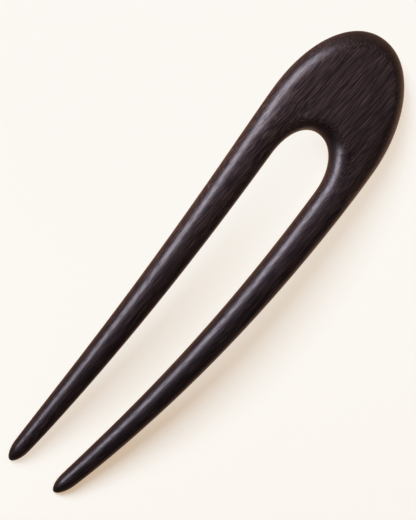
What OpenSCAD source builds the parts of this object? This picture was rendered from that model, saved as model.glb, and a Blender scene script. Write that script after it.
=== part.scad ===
// Two-prong hair fork, carved from one blank of dark wood.
// It lies with its tips towards -Y and its head towards +Y, arched up between them.

/* [Fork] */
// Length from the tips to the end of the head
fork_l = 150; // [110:1:220]
// Rise of the arch that the whole fork is bent to
arch_h = 10.2; // [0:0.2:20]
// Place of the top of the arch, as a share of the length from the tips
arch_share = 0.46; // [0.35:0.01:0.65]

/* [Head] */
// Width of the head at its widest line
head_w = 37.6; // [30:0.1:60]
// Solid wood between the gap and the end of the head
head_l = 31; // [20:0.5:50]
// Thickness of the head
head_t = 8.4; // [5:0.1:12]
// How far each face of the head falls off from the middle line to the widest line
dome_h = 0.2; // [0:0.1:1.5]
// How far the rounding of the head's outer edge reaches into the faces
edge_r = 5; // [2:0.1:8]
// Fullness of the rounding of the edges: 2 is round, less is nearer to a bevel
edge_n = 1.6; // [1.4:0.05:3]
// How far the head swells past the prongs on each side
swell = 0.4; // [0:0.05:3]
// Length over which each side swells
shoulder_l = 14.4; // [6:0.2:24]
// Fullness of the rounded end: 2 is an ellipse, more is squarer
crown_n = 2.05; // [1.6:0.05:3]

/* [Gap] */
// Width of the gap between the prongs at their roots
gap_w = 17; // [8:0.5:24]
// Length of the gap's rounded end
crotch_l = 12.8; // [6:0.1:20]
// Fullness of the gap's rounded end: 2 is an ellipse, more is squarer
crotch_n = 2.15; // [1.6:0.05:3]
// How far the rounding of the gap's edge reaches into the faces
gap_r = 3.5; // [2:0.1:8]

/* [Prongs] */
// Distance between the centres of the two tips
tip_pitch = 15.8; // [10:0.2:30]
// How far each prong bows outwards at the middle of its length
bow = 0.8; // [-1:0.1:3]
// Width that a prong narrows to at its tip, before the point is rounded
tip_w = 3.8; // [2:0.1:6]
// Length of the rounded point
nose_l = 5; // [2:0.1:12]
// How soon a prong widens: 1 is a straight taper, less is sooner
taper = 0.58; // [0.4:0.02:1.5]
// Thickness of a slender prong, as a share of its width
prong_oval = 0.8; // [0.6:0.02:1]
// Greatest thickness of a prong
prong_t = 7.2; // [4:0.1:10]

/* [Hidden] */

wood = [0.17, 0.13, 0.13];

root_y = fork_l - head_l - crotch_l;
wide_y = root_y + shoulder_l;
crown_l = fork_l - wide_y;
root_w = (head_w - gap_w)/2 - swell;
root_x = (head_w + gap_w)/4 - swell/2;

// Slope of a prong's outer side where it meets the head
root_slope = (root_x - tip_pitch/2 - 4*bow + taper*(root_w - tip_w)/2)/root_y;

// Power that puts the top of the arch where arch_share says
arch_n = ln(0.5)/ln(arch_share);

// Sharpness of the change from a slender prong to one of the greatest thickness
fairing_n = 12;

// Shares of the way round the gap's end: to the widest line, and to the flat faces
wide_share = 0.3;
flat_share = 0.6;

// Steps along the fork, and round a quarter of a section
nose_steps = 5;
prong_steps = 20;
fan_steps = 20;
edge_steps = 5;
face_steps = 3;
quarter_steps = edge_steps + face_steps;
section_n = 4*quarter_steps;

// Half steps for the direction of an outline, and for the lean of the arch
probe_share = 0.01;
lean_step = fork_l/300;

function unit(v) = v/norm(v);
function under(p) = [p.x, p.y, -p.z];
function blend(a, b, share) = a*(1 - share) + b*share;

// Prong at a share u of the way from tip to root
function prong_x(u) = tip_pitch/2 + (root_x - tip_pitch/2)*u + 4*bow*u*(1 - u);
function prong_w(u) = tip_w + (root_w - tip_w)*pow(u, taper);
function thickness(w) =
    let (oval = prong_oval*w)
    prong_t*oval/pow(pow(oval, fairing_n) + pow(prong_t, fairing_n), 1/fairing_n);

// Quarter of a full curve, from [side, 0] at v = 0 to [0, end] at v = 1
function full_curve(side, end, n, v) = [side*pow(cos(90*v), 2/n), end*pow(sin(90*v), 2/n)];

// Edge of the gap's rounded end, v from 0 at the prong's root to 1 at the middle line
function gap_edge(v) = [0, root_y] + full_curve(gap_w/2, crotch_l, crotch_n, v);

// Outer edge of the head over the same v: a swelling side, then the rounded end
function side_edge(k) =
    [head_w/2 - swell*(1 - k*k*(3 - 2*k)) + root_slope*shoulder_l*k*pow(1 - k, 2),
     root_y + shoulder_l*k];
function head_edge(v) =
    v < wide_share
    ? side_edge(v/wide_share)
    : [0, wide_y] + full_curve(head_w/2, crown_l, crown_n, (v - wide_share)/(1 - wide_share));

// Direction square to an edge at v, turned left of its run; both edges end square to the middle line
function left_of(a, b) = unit([a.y - b.y, b.x - a.x]);
function gap_left(v) = v == 1 ? [0, -1] : left_of(gap_edge(v - probe_share), gap_edge(v + probe_share));
function head_left(v) = v == 1 ? [0, -1] : left_of(head_edge(v - probe_share), head_edge(v + probe_share));

// Quarter of a section, from an edge up to the middle of the face.
// flat is 0 for an oval prong and 1 for a gently domed face whose edge is rounded within reach.
function quarter(edge, mid, inward, reach, half_t, flat) =
    [for (i = [0 : quarter_steps])
        let (turn = 90*i/quarter_steps,
             roll = full_curve(1, 1, edge_n, min(i/edge_steps, 1)),
             run = max(i - edge_steps, 0)/face_steps,
             oval = blend(edge, mid, 1 - cos(turn)),
             slab = blend(edge + inward*reach*(1 - roll.x), mid, run),
             p = blend(oval, slab, flat),
             fall = flat*dome_h*pow(2*p.x/head_w, 2))
        [p.x, p.y, (half_t - fall)*blend(sin(turn), roll.y, flat)]];

// Whole section: outer edge, upper face, inner edge, lower face
function section(outer, inner, from_outer, from_inner, half_t, flat) =
    let (mid = (outer + inner)/2,
         half_w = norm(mid - outer),
         o = quarter(outer, mid, from_outer, min(edge_r, half_w), half_t, flat),
         i = quarter(inner, mid, from_inner, min(gap_r, half_w), half_t, flat),
         last = quarter_steps)
    concat(o,
           [for (k = [last - 1 : -1 : 0]) i[k]],
           [for (k = [1 : last]) under(i[k])],
           [for (k = [last - 1 : -1 : 1]) under(o[k])]);

// Section across a prong at y, drawn in to a share of its size in the rounded point
function prong_section(y, share) =
    let (u = y/root_y, x = prong_x(u), w = prong_w(u))
    section([x + share*w/2, y], [x - share*w/2, y], [-1, 0], [1, 0], share*thickness(w)/2, 0);

// Section fanned round the gap's end, from the prong's root to the middle line
function head_section(v) =
    let (inner = gap_edge(v),
         outer = head_edge(v),
         along = unit(outer - inner),
         flat = min(v/flat_share, 1))
    section(outer, inner,
            unit(blend(-along, head_left(v), flat)),
            unit(blend(along, -gap_left(v), flat)),
            blend(thickness(root_w), head_t, flat)/2, flat);

half_fork = concat(
    [for (i = [1 : nose_steps])
        let (turn = 90*i/nose_steps) prong_section(nose_l*(1 - cos(turn)), sin(turn))],
    [for (i = [1 : prong_steps]) prong_section(blend(nose_l, root_y, i/prong_steps), 1)],
    [for (i = [1 : fan_steps]) head_section(i/fan_steps)]);
sections = concat(
    half_fork,
    [for (i = [len(half_fork) - 2 : -1 : 0]) [for (p = half_fork[i]) [-p.x, p.y, p.z]]]);
straight_fork = concat(
    [[prong_x(0), 0, 0]],
    [for (s = sections, p = s) p],
    [[-prong_x(0), 0, 0]]);

// Arch of the middle plane, and its lean at y in degrees
function arch(y) = arch_h*sin(180*pow(max(y, 0)/fork_l, arch_n));
function lean(y) = atan((arch(y + lean_step) - arch(y - lean_step))/(2*lean_step));
function bend(p) = [p.x, p.y - p.z*sin(lean(p.y)), arch(p.y) + p.z*cos(lean(p.y))];

function lowest(pts, axis) = min([for (p = pts) p[axis]]);
function highest(pts, axis) = max([for (p = pts) p[axis]]);

// Set down on the tips and on the end of the head, centred over the origin
bent_fork = [for (p = straight_fork) bend(p)];
tip_z = lowest([for (p = bent_fork) if (p.y < fork_l/2) p], 2);
head_z = lowest([for (p = bent_fork) if (p.y > fork_l/2) p], 2);
level_fork = [for (p = bent_fork) p - [0, 0, blend(tip_z, head_z, p.y/fork_l)]];
seat = [0, (lowest(level_fork, 1) + highest(level_fork, 1))/2, lowest(level_fork, 2)];
fork_points = [for (p = level_fork) p - seat];

last_point = len(fork_points) - 1;
last_ring = last_point - section_n;
fork_faces = concat(
    [for (k = [0 : section_n - 1]) [0, 1 + (k + 1)%section_n, 1 + k]],
    [for (r = [0 : len(sections) - 2], k = [0 : section_n - 1], half = [0, 1])
        let (a = 1 + r*section_n + k, b = 1 + r*section_n + (k + 1)%section_n)
        half == 0 ? [a, b, b + section_n] : [a, b + section_n, a + section_n]],
    [for (k = [0 : section_n - 1]) [last_point, last_ring + k, last_ring + (k + 1)%section_n]]);

module fork() {
    color(wood) polyhedron(points = fork_points, faces = fork_faces, convexity = 4);
}

fork();
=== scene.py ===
import math
import bpy
import numpy as np
from mathutils import Matrix, Vector


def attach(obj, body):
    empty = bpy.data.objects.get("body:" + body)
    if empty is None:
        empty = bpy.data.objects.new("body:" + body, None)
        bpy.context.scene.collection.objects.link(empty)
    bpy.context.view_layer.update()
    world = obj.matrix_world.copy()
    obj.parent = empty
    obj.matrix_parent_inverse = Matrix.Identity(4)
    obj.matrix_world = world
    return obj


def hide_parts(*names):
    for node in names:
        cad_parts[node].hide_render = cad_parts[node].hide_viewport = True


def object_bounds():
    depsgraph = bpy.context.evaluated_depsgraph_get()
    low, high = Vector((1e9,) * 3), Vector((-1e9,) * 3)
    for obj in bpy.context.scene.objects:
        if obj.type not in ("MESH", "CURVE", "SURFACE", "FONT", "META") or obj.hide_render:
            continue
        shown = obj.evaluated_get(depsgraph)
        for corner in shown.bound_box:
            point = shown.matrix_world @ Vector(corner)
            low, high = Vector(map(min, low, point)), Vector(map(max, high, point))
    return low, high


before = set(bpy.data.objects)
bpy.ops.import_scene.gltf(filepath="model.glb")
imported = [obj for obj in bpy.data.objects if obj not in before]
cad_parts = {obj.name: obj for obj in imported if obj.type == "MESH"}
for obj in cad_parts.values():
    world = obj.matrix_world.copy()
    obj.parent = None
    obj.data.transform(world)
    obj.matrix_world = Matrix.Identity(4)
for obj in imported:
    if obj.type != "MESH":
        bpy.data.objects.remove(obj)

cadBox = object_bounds()
mm = 0.001


# The fork's shape, in mm: the same sizes and rules as the solid model, in finer steps
forkShape = {
    "length": 150, "archRise": 10.2, "archTop": 0.46,  # archTop is a share of the length
    "headWidth": 37.6, "headLength": 31, "headThick": 8.4,
    "headDome": 0.2,  # how far each face of the head falls off to the sides
    "edgeRound": 5, "edgeFullness": 1.6, "swell": 0.4, "shoulder": 14.4, "crownFullness": 2.05,
    "gapWidth": 17, "gapEnd": 12.8, "gapFullness": 2.15, "gapRound": 3.5,
    "tipPitch": 15.8, "bow": 0.8, "tipWidth": 3.8, "tipPoint": 5, "taper": 0.58,
    "prongOval": 0.8, "prongThick": 7.2,  # prongOval is a slender prong's thickness over its width
    "fairing": 12, "widestShare": 0.3, "flatShare": 0.6,
    "grainLean": 7, "prongGrainLean": 1.5, "grainBend": 40,  # degrees towards +X; they blend over grainBend
    "pointSteps": 14, "prongSteps": 90, "headSteps": 100, "edgeSteps": 14, "faceSteps": 12,
    "probe": 0.002, "leanSteps": 300, "grainSteps": 200,  # how finely directions are worked out
}


def mix(a, b, share):
    return a * (1 - share) + b * share


def unit(v):
    return v / np.hypot(*v)


def fullCurve(side, end, fullness, v):
    turn = math.radians(90 * v)
    power = 2 / fullness
    return np.array([side * max(math.cos(turn), 0) ** power, end * math.sin(turn) ** power])


# Sections along the fork's skin, from one point round the gap's end to the other, worked out from forkShape
class ForkForm:
    def __init__(self, s):
        self.s = s
        self.rootY = s["length"] - s["headLength"] - s["gapEnd"]
        self.wideY = self.rootY + s["shoulder"]
        self.rootWidth = (s["headWidth"] - s["gapWidth"]) / 2 - s["swell"]
        self.rootX = (s["headWidth"] + s["gapWidth"]) / 4 - s["swell"] / 2
        spread = self.rootX - s["tipPitch"] / 2 - 4 * s["bow"]
        self.rootSlope = (spread + s["taper"] * (self.rootWidth - s["tipWidth"]) / 2) / self.rootY
        self.archPower = math.log(0.5) / math.log(s["archTop"])

    def prongX(self, u):
        start = self.s["tipPitch"] / 2
        return start + (self.rootX - start) * u + 4 * self.s["bow"] * u * (1 - u)

    def prongWidth(self, u):
        return mix(self.s["tipWidth"], self.rootWidth, u ** self.s["taper"])

    def thickness(self, width):
        n, most = self.s["fairing"], self.s["prongThick"]
        oval = self.s["prongOval"] * width
        return most * oval / (oval ** n + most ** n) ** (1 / n)

    def gapEdge(self, v):
        s = self.s
        return np.array([0, self.rootY]) + fullCurve(s["gapWidth"] / 2, s["gapEnd"], s["gapFullness"], v)

    def headEdge(self, v):
        s = self.s
        if v < s["widestShare"]:
            k = v / s["widestShare"]
            swelling = s["swell"] * (1 - k * k * (3 - 2 * k))
            run = self.rootSlope * s["shoulder"] * k * (1 - k) ** 2
            return np.array([s["headWidth"] / 2 - swelling + run, self.rootY + s["shoulder"] * k])
        k = (v - s["widestShare"]) / (1 - s["widestShare"])
        crown = s["length"] - self.wideY
        return np.array([0, self.wideY]) + fullCurve(s["headWidth"] / 2, crown, s["crownFullness"], k)

    def leftOf(self, edge, v):  # direction square to an edge, left of its run
        probe = self.s["probe"]
        if v > 1 - probe:
            return np.array([0.0, -1.0])
        a, b = edge(v - probe), edge(v + probe)
        return unit(np.array([a[1] - b[1], b[0] - a[0]]))

    def quarter(self, edge, mid, inward, reach, halfThick, flat):  # flat is 0 for a prong, 1 for the head
        s = self.s
        steps = s["edgeSteps"] + s["faceSteps"]
        points = []
        for i in range(steps + 1):
            turn = math.radians(90 * i / steps)
            side, rise = fullCurve(1, 1, s["edgeFullness"], min(i / s["edgeSteps"], 1))
            run = max(i - s["edgeSteps"], 0) / s["faceSteps"]
            oval = mix(edge, mid, 1 - math.cos(turn))
            slab = mix(edge + inward * reach * (1 - side), mid, run)
            x, y = mix(oval, slab, flat)
            fall = s["headDome"] * (2 * x / s["headWidth"]) ** 2 * flat
            points.append((x, y, (halfThick - fall) * mix(math.sin(turn), rise, flat)))
        return points

    def section(self, outer, inner, fromOuter, fromInner, halfThick, flat):
        mid = (outer + inner) / 2
        halfWidth = np.hypot(*(mid - outer))
        o = self.quarter(outer, mid, fromOuter, min(self.s["edgeRound"], halfWidth), halfThick, flat)
        i = self.quarter(inner, mid, fromInner, min(self.s["gapRound"], halfWidth), halfThick, flat)
        under = [(x, y, -z) for x, y, z in i[1:]] + [(x, y, -z) for x, y, z in o[-2:0:-1]]
        return o + i[-2::-1] + under

    def prongSection(self, y, share):
        u = y / self.rootY
        x, w = self.prongX(u), self.prongWidth(u)
        outer, inner = np.array([x + share * w / 2, y]), np.array([x - share * w / 2, y])
        inward = np.array([-1.0, 0.0])
        return self.section(outer, inner, inward, -inward, share * self.thickness(w) / 2, 0)

    def headSection(self, v):
        inner, outer = self.gapEdge(v), self.headEdge(v)
        along = unit(outer - inner)
        flat = min(v / self.s["flatShare"], 1)
        fromOuter = unit(mix(-along, self.leftOf(self.headEdge, v), flat))
        fromInner = unit(mix(along, -self.leftOf(self.gapEdge, v), flat))
        thick = mix(self.thickness(self.rootWidth), self.s["headThick"], flat)
        return self.section(outer, inner, fromOuter, fromInner, thick / 2, flat)

    def sections(self):
        s = self.s
        half = []
        for i in range(1, s["pointSteps"] + 1):
            turn = math.radians(90 * i / s["pointSteps"])
            half.append(self.prongSection(s["tipPoint"] * (1 - math.cos(turn)), math.sin(turn)))
        for i in range(1, s["prongSteps"] + 1):
            half.append(self.prongSection(mix(s["tipPoint"], self.rootY, i / s["prongSteps"]), 1))
        for i in range(1, s["headSteps"] + 1):
            half.append(self.headSection(i / s["headSteps"]))
        return half + [[(-x, y, z) for x, y, z in ring] for ring in half[-2::-1]]

    def arch(self, y):
        share = np.maximum(y, 0) / self.s["length"]
        return self.s["archRise"] * np.sin(math.pi * share ** self.archPower)

    def bend(self, points):  # straight fork to the arched one, on its seat
        x, y, z = points.T
        near = self.s["length"] / self.s["leanSteps"]
        lean = np.arctan((self.arch(y + near) - self.arch(y - near)) / (2 * near))
        y, z = y - z * np.sin(lean), self.arch(y) + z * np.cos(lean)
        tipHalf = y < self.s["length"] / 2
        z = z - mix(z[tipHalf].min(), z[~tipHalf].min(), y / self.s["length"])
        return np.stack([x, y - (y.min() + y.max()) / 2, z - z.min()], 1)


def alongFibres(form, points):  # the fibres lean across the head and follow the prongs
    s = form.s
    headSlope, prongSlope = (math.tan(math.radians(s[name])) for name in ("grainLean", "prongGrainLean"))
    x, y, z = points.T
    down = np.linspace(0, form.rootY, s["grainSteps"])
    inProng = np.clip((form.rootY - down) / s["grainBend"], 0, 1)
    splay = np.gradient([form.prongX(at / form.rootY) for at in down], down)
    shifts = []
    for side in (-1, 1):
        slope = mix(headSlope, side * splay + prongSlope, inProng)
        run = np.append(0, np.cumsum((slope[1:] + slope[:-1]) / 2 * np.diff(down)))
        shifts.append(np.interp(y, down, run - run[-1]))
    shift = np.where(x < 0, shifts[0], shifts[1]) + headSlope * np.maximum(y - form.rootY, 0)
    return np.stack([x - shift, y, z], 1)


def addToScene(name, data):
    thing = bpy.data.objects.new(name, data)
    bpy.context.scene.collection.objects.link(thing)
    return thing


def buildFork(shape):
    form = ForkForm(shape)
    rings = form.sections()
    around = len(rings[0])
    tip = form.prongX(0)
    straight = np.array([(tip, 0, 0)] + [p for ring in rings for p in ring] + [(-tip, 0, 0)])
    points = form.bend(straight) * mm
    room = np.subtract(cadBox[1], cadBox[0])
    points *= np.minimum(room / np.ptp(points, axis=0), 1)  # the finer steps stay inside the solid's box
    faces = [(0, 1 + k, 1 + (k + 1) % around) for k in range(around)]
    for r in range(len(rings) - 1):
        start = 1 + r * around
        for k in range(around):
            a, b = start + k, start + (k + 1) % around
            faces.append((a, a + around, b + around, b))
    last = len(points) - 1
    ring = last - around
    faces += [(last, ring + (k + 1) % around, ring + k) for k in range(around)]
    mesh = bpy.data.meshes.new("fork_carved")
    mesh.from_pydata(points.tolist(), [], faces)
    mesh.update()
    mesh.shade_smooth()
    grain = mesh.attributes.new("grain", "FLOAT_VECTOR", "POINT")  # place in the board, its fibres along Y
    grain.data.foreach_set("vector", (alongFibres(form, straight) * mm).ravel())
    lean = math.radians(shape["grainLean"])
    lie = np.array([vertex.normal for vertex in mesh.vertices]) @ (math.sin(lean), math.cos(lean), 0)
    endGrain = mesh.attributes.new("endGrain", "FLOAT", "POINT")  # how squarely the surface cuts the grain
    endGrain.data.foreach_set("value", np.abs(lie))
    fork = addToScene("fork_carved", mesh)
    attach(fork, "root")
    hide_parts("fork")
    return fork


# A node's output; sums on it add Math nodes
class Wire:
    def __init__(self, tree, socket=None):
        self.tree, self.socket = tree, socket

    def add(self, kind, settings=None, sockets=None, out=0):
        node = self.tree.nodes.new(kind)
        for name, value in (settings or {}).items():
            setattr(node, name, value)
        for name, value in (sockets or {}).items():
            if isinstance(value, Wire):
                self.tree.links.new(value.socket, node.inputs[name])
            else:
                node.inputs[name].default_value = value
        return Wire(self.tree, node.outputs[out]) if len(node.outputs) else node

    def maths(self, operation, a, b):
        return self.add("ShaderNodeMath", {"operation": operation}, {0: a, 1: b})

    def __add__(self, other):
        return self.maths("ADD", self, other)

    def __radd__(self, other):
        return self.maths("ADD", other, self)

    def __sub__(self, other):
        return self.maths("SUBTRACT", self, other)

    def __rsub__(self, other):
        return self.maths("SUBTRACT", other, self)

    def __mul__(self, other):
        return self.maths("MULTIPLY", self, other)

    def __rmul__(self, other):
        return self.maths("MULTIPLY", other, self)

    def __abs__(self):
        return self.maths("ABSOLUTE", self, 0)

    def parts(self, axes):
        return [self.add("ShaderNodeSeparateXYZ", {}, {"Vector": self}, out=axis) for axis in axes]


def emptyNodes(owner):
    owner.use_nodes = True
    owner.node_tree.nodes.clear()
    return Wire(owner.node_tree)


# Oiled and polished dark wood; lengths in metres, along from the tips
woodLook = {
    "deep": (0.0036, 0.0016, 0.0012, 1), "warm": (0.006, 0.0028, 0.0024, 1),
    "streak": (0.098, 0.058, 0.053, 1), "pore": (0.0012, 0.0006, 0.0005, 1), "poreDark": 0.5,
    "roughness": 0.43, "lineRoughness": 0.12, "poreRoughness": 0.1,
    "gloss": 0.22, "sheenOfGrain": (1.0, 0.84, 1.0, 1),
    "bump": 1.0, "bumpDepth": 0.00001, "poreDepth": 0.4,
    "endGrain": (0.2, 0.7), "endGrainLoss": 0.7,  # where the surface cuts the fibres, their lines fade
    "prongLines": 0.33, "fullLines": (0.03, 0.12),  # fewer pale lines on the prongs than on the head, painted shade that darkens the prongs
    "leftLines": 1.2, "rightLoss": 0.45, "sides": (-0.01, 0.014),  # and more pale lines on the head's left, painted light, and fainter ones on its right, painted shade
    "bandLines": 0.25,  # how much stronger the lines are in the warm bands
    "fibreLines": 0.5, "thinLines": 0.5, "unbroken": 0.5,  # thin lines show this much between the fibres
    "polish": 0.95, "polishRoughness": 0.26, "tipPolish": 0.55, "fullPolish": (-0.03, 0.14),
    "evenPolish": 0.78, "brushing": 0.22, "lineDullness": 0.15, "nickDullness": 0.5,
}

# Noises that make up the grain: cells in a metre across and along it, and the values it sets in between
grainNoises = {
    "contour": {"across": 4000, "along": 80, "detail": 0.0, "place": (0, 0, 0), "between": (0.02, 0.09)},
    "fibres": {"across": 6600, "along": 170, "detail": 0.5, "place": (5, 9, 3), "between": (0.5, 0.62)},
    "bands": {"across": 420, "along": 14, "detail": 3.0, "place": (3, 1, 7), "between": (0.35, 0.7)},
    "pores": {"across": 2600, "along": 200, "detail": 1.0, "place": (11, 5, 2), "between": (0.62, 0.7)},
    "brushed": {"across": 3400, "along": 90, "detail": 1.0, "place": (2, 4, 8), "between": (0.42, 0.56)},
    "nicks": {"across": 4600, "along": 420, "detail": 0.0, "place": (7, 3, 1), "between": (0.5, 0.66)},
}


def noise(grain, plan):
    scale = (plan["across"], plan["along"], plan["across"])
    placed = grain.add("ShaderNodeMapping", {"vector_type": "POINT"},
                       {"Vector": grain, "Location": plan["place"], "Scale": scale})
    return grain.add("ShaderNodeTexNoise", {"noise_dimensions": "3D"},
                     {"Vector": placed, "Scale": 1.0, "Detail": plan["detail"], "Roughness": 0.5})


def step(value, low, high):  # 0 up to low, 1 from high, smooth between
    return value.add("ShaderNodeMapRange", {"interpolation_type": "SMOOTHSTEP"},
                     {"Value": value, "From Min": low, "From Max": high})


def blend(share, a, b):
    sockets = {"Factor": share, "A": a, "B": b}
    return share.add("ShaderNodeMix", {"data_type": "RGBA"}, sockets, out="Result")


def woodMaterial(look, noises):
    material = bpy.data.materials.new("oiled_dark_wood")
    start = emptyNodes(material)
    grain = start.add("ShaderNodeAttribute", {"attribute_name": "grain"}, out="Vector")
    across, along = grain.parts("XY")
    endGrain = start.add("ShaderNodeAttribute", {"attribute_name": "endGrain"}, out="Fac")
    cutAcross = step(endGrain, *look["endGrain"])
    fibres, bands, pores, brushed, nicks = (
        step(noise(grain, noises[name]), *noises[name]["between"])
        for name in ("fibres", "bands", "pores", "brushed", "nicks"))
    pores = pores * (1 - cutAcross)
    contour = noise(grain, noises["contour"])
    thin = 1 - step(abs(contour - 0.5), *noises["contour"]["between"])  # where the noise crosses its middle
    broken = look["thinLines"] * thin * (look["unbroken"] + (1 - look["unbroken"]) * fibres)
    lines = (look["fibreLines"] * fibres + broken) * (1 - look["endGrainLoss"] * cutAcross)

    # painted shade: fewer pale lines on the prongs make them darker than the head
    prongShade = look["prongLines"] + (1 - look["prongLines"]) * step(along, *look["fullLines"])
    # painted light and shade: the head's face lighter on the left, darker on the right
    sideShading = look["leftLines"] - look["rightLoss"] * step(across, *look["sides"])
    pale = lines * prongShade * sideShading * (1 - look["bandLines"] + look["bandLines"] * bands)
    colour = blend(pale, blend(bands, look["deep"], look["warm"]), look["streak"])
    colour = blend(pores * look["poreDark"], colour, look["pore"])
    rough = look["roughness"] + look["lineRoughness"] * lines + look["poreRoughness"] * pores

    handled = look["tipPolish"] + (1 - look["tipPolish"]) * step(along, *look["fullPolish"])
    patchy = look["evenPolish"] + look["brushing"] * brushed
    patchy = patchy - look["lineDullness"] * lines - look["nickDullness"] * nicks
    height = lines * (1 - cutAcross) - look["poreDepth"] * pores
    bump = start.add("ShaderNodeBump", {}, {
        "Strength": look["bump"], "Distance": look["bumpDepth"], "Height": height})
    shade = start.add("ShaderNodeBsdfPrincipled", {}, {
        "Base Color": colour, "Roughness": rough, "Normal": bump,
        "Specular IOR Level": look["gloss"], "Specular Tint": look["sheenOfGrain"],
        "Coat Weight": look["polish"] * handled * patchy, "Coat Roughness": look["polishRoughness"]})
    start.add("ShaderNodeOutputMaterial", {}, {"Surface": shade})
    return material


fork = buildFork(forkShape)
fork.data.materials.append(woodMaterial(woodLook, grainNoises))
print("fork:", len(fork.data.polygons), "faces")


# Pale table top with a glow of its own, so that shadows on it stay light
floorPlan = {
    "size": 6.0, "tipEnd": -0.09, "headEnd": 0.035,  # shadows are deeper beside the tips than the head
    "tipColour": (0.606, 0.776, 0.895, 1), "headColour": (0.321, 0.424, 0.504, 1),
    "tipGlow": (0.56, 0.42, 0.285, 1), "headGlow": (0.75, 0.655, 0.55, 1),
    "gapSide": -0.004, "openSide": 0.0145, "splay": 0.06,  # across: the left prong's shadow is fainter
    "tipFade": 0.4, "headFade": 0.9, "unlit": (0.0, 0.0, 0.0, 1), "fullGlow": (0.964, 0.938, 0.892, 1),
}


def buildFloor(plan):
    half = plan["size"] / 2
    corners = [(-half, -half, 0), (half, -half, 0), (half, half, 0), (-half, half, 0)]
    mesh = bpy.data.meshes.new("floor")
    mesh.from_pydata(corners, [], [(0, 1, 2, 3)])
    floor = addToScene("floor", mesh)
    material = bpy.data.materials.new("pale_paper")
    start = emptyNodes(material)
    across, along = start.add("ShaderNodeTexCoord", out="Object").parts("XY")
    towardsHead = step(along, plan["tipEnd"], plan["headEnd"])
    leftward = 1 - step(across - plan["splay"] * along, plan["gapSide"], plan["openSide"])
    fade = leftward * (plan["tipFade"] + (plan["headFade"] - plan["tipFade"]) * towardsHead)
    colour = blend(fade, blend(towardsHead, plan["tipColour"], plan["headColour"]), plan["unlit"])
    glow = blend(fade, blend(towardsHead, plan["tipGlow"], plan["headGlow"]), plan["fullGlow"])
    shade = start.add("ShaderNodeBsdfPrincipled", {}, {
        "Base Color": colour, "Roughness": 1.0, "Specular IOR Level": 0.0,
        "Emission Strength": 1.0, "Emission Color": glow})
    start.add("ShaderNodeOutputMaterial", {}, {"Surface": shade})
    mesh.materials.append(material)
    floor.visible_glossy = False  # the wood mirrors the dim studio, not the bright table


buildFloor(floorPlan)
print("floor:", floorPlan["size"], "m wide")


# Lights: degrees from straight up, and round from -X towards +Y; sizes and distance in metres
lightPlan = {
    "softbox": {"fromUp": 50, "round": -3, "away": 4.0, "wide": 7.8, "tall": 2.0,
                "power": 440, "colour": (0.96, 0.935, 1.06), "lights": "shine"},
    "window": {"fromUp": 49, "round": 10, "away": 4.0, "wide": 1.7, "tall": 1.7,
               "power": 160, "colour": (1.0, 1.0, 1.0), "lights": "rest"},
    "overhead": {"fromUp": 28, "round": 125, "away": 4.0, "wide": 2.4, "tall": 2.4,
                 "power": 4, "colour": (1.0, 0.78, 1.02), "lights": "both"},
}
studio = {  # what the wood mirrors beside the lamps
    "lowLeft": (0.80, 0.36, 0.20, 1), "lowRight": (0.62, 0.37, 0.25, 1), "lowEnds": (0.34, 0.19, 0.13, 1),
    "behindHead": (0.1, 0.065, 0.06, 1), "high": (0.02, 0.013, 0.013, 1), "strength": 1.0,
    "slant": 0.6, "sides": (-0.7, 0.3), "ends": (0.1, 0.6),  # how the low colours part
    "horizon": (-0.32, 0.09), "rightRise": 0.16, "behind": (0.1, 0.7),
}


def aimed(direction):  # turns a light, which shines along its -Z, to face the origin
    back = direction.normalized()
    right = Vector((0, 0, 1)).cross(back).normalized()
    up = back.cross(right)
    return Matrix((right, up, back)).transposed().to_4x4()


def buildLights(plan):
    for name, light in plan.items():
        tilt, turn = math.radians(light["fromUp"]), math.radians(light["round"])
        flat = math.sin(tilt)
        direction = Vector((-flat * math.cos(turn), flat * math.sin(turn), math.cos(tilt)))
        lamp = bpy.data.lights.new(name, "AREA")
        lamp.shape = "RECTANGLE"
        lamp.size, lamp.size_y = light["wide"], light["tall"]
        lamp.energy, lamp.color = light["power"], light["colour"]
        holder = addToScene(name, lamp)
        holder.visible_glossy = light["lights"] != "rest"  # one lamp for the highlight, one for the rest
        holder.visible_diffuse = light["lights"] != "shine"
        holder.matrix_world = Matrix.Translation(direction * light["away"]) @ aimed(direction)


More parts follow.
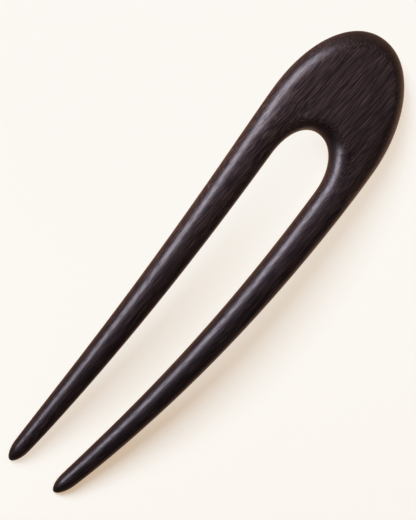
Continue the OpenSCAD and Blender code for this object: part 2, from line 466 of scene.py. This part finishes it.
def buildRoom(room):
    world = bpy.data.worlds.new("studio")
    start = emptyNodes(world)
    across, along, height = start.add("ShaderNodeTexCoord", out="Generated").parts("XYZ")
    rightward = step(across + room["slant"] * along, *room["sides"])
    low = blend(rightward, room["lowLeft"], room["lowRight"])
    low = blend(step(along * along, *room["ends"]), low, room["lowEnds"])
    high = blend(step(along, *room["behind"]), room["high"], room["behindHead"])
    colour = blend(step(height - room["rightRise"] * rightward, *room["horizon"]), low, high)
    glow = start.add("ShaderNodeBackground", {}, {"Color": colour, "Strength": room["strength"]})
    start.add("ShaderNodeOutputWorld", {}, {"Surface": glow})
    bpy.context.scene.world = world


buildLights(lightPlan)
buildRoom(studio)
print("lights:", ", ".join(lightPlan))


# Camera: degrees from straight up towards -X and towards +Y, turn of the picture, then metres and pixels
cameraPlan = {
    "towardsLeft": 22.7, "towardsHead": -0.4, "turn": 38.88, "away": 0.5862,
    "aim": (-0.00252, -0.00044, 0.008), "focalPixels": 2215, "picture": (416, 520),
    "sensor": 36.0, "nearest": 0.01, "farthest": 20,
}


def buildCamera(plan):
    left, head = math.radians(plan["towardsLeft"]), math.radians(plan["towardsHead"])
    back = Vector((-math.sin(left) * math.cos(head), math.sin(head), math.cos(left) * math.cos(head)))
    along = (Vector((0, 1, 0)) - back * back.y).normalized()
    across = along.cross(back)
    turn = math.radians(plan["turn"])
    right = along * math.sin(turn) + across * math.cos(turn)
    up = along * math.cos(turn) - across * math.sin(turn)
    data = bpy.data.cameras.new("camera")
    data.sensor_width = plan["sensor"]
    data.lens = plan["focalPixels"] * plan["sensor"] / max(plan["picture"])
    data.clip_start, data.clip_end = plan["nearest"], plan["farthest"]
    camera = addToScene("camera", data)
    turned = Matrix((right, up, back)).transposed().to_4x4()
    camera.matrix_world = Matrix.Translation(Vector(plan["aim"]) + back * plan["away"]) @ turned
    bpy.context.scene.camera = camera


buildCamera(cameraPlan)
print("camera:", cameraPlan["away"], "m away")
bpy.context.scene.view_settings.view_transform = "Standard"
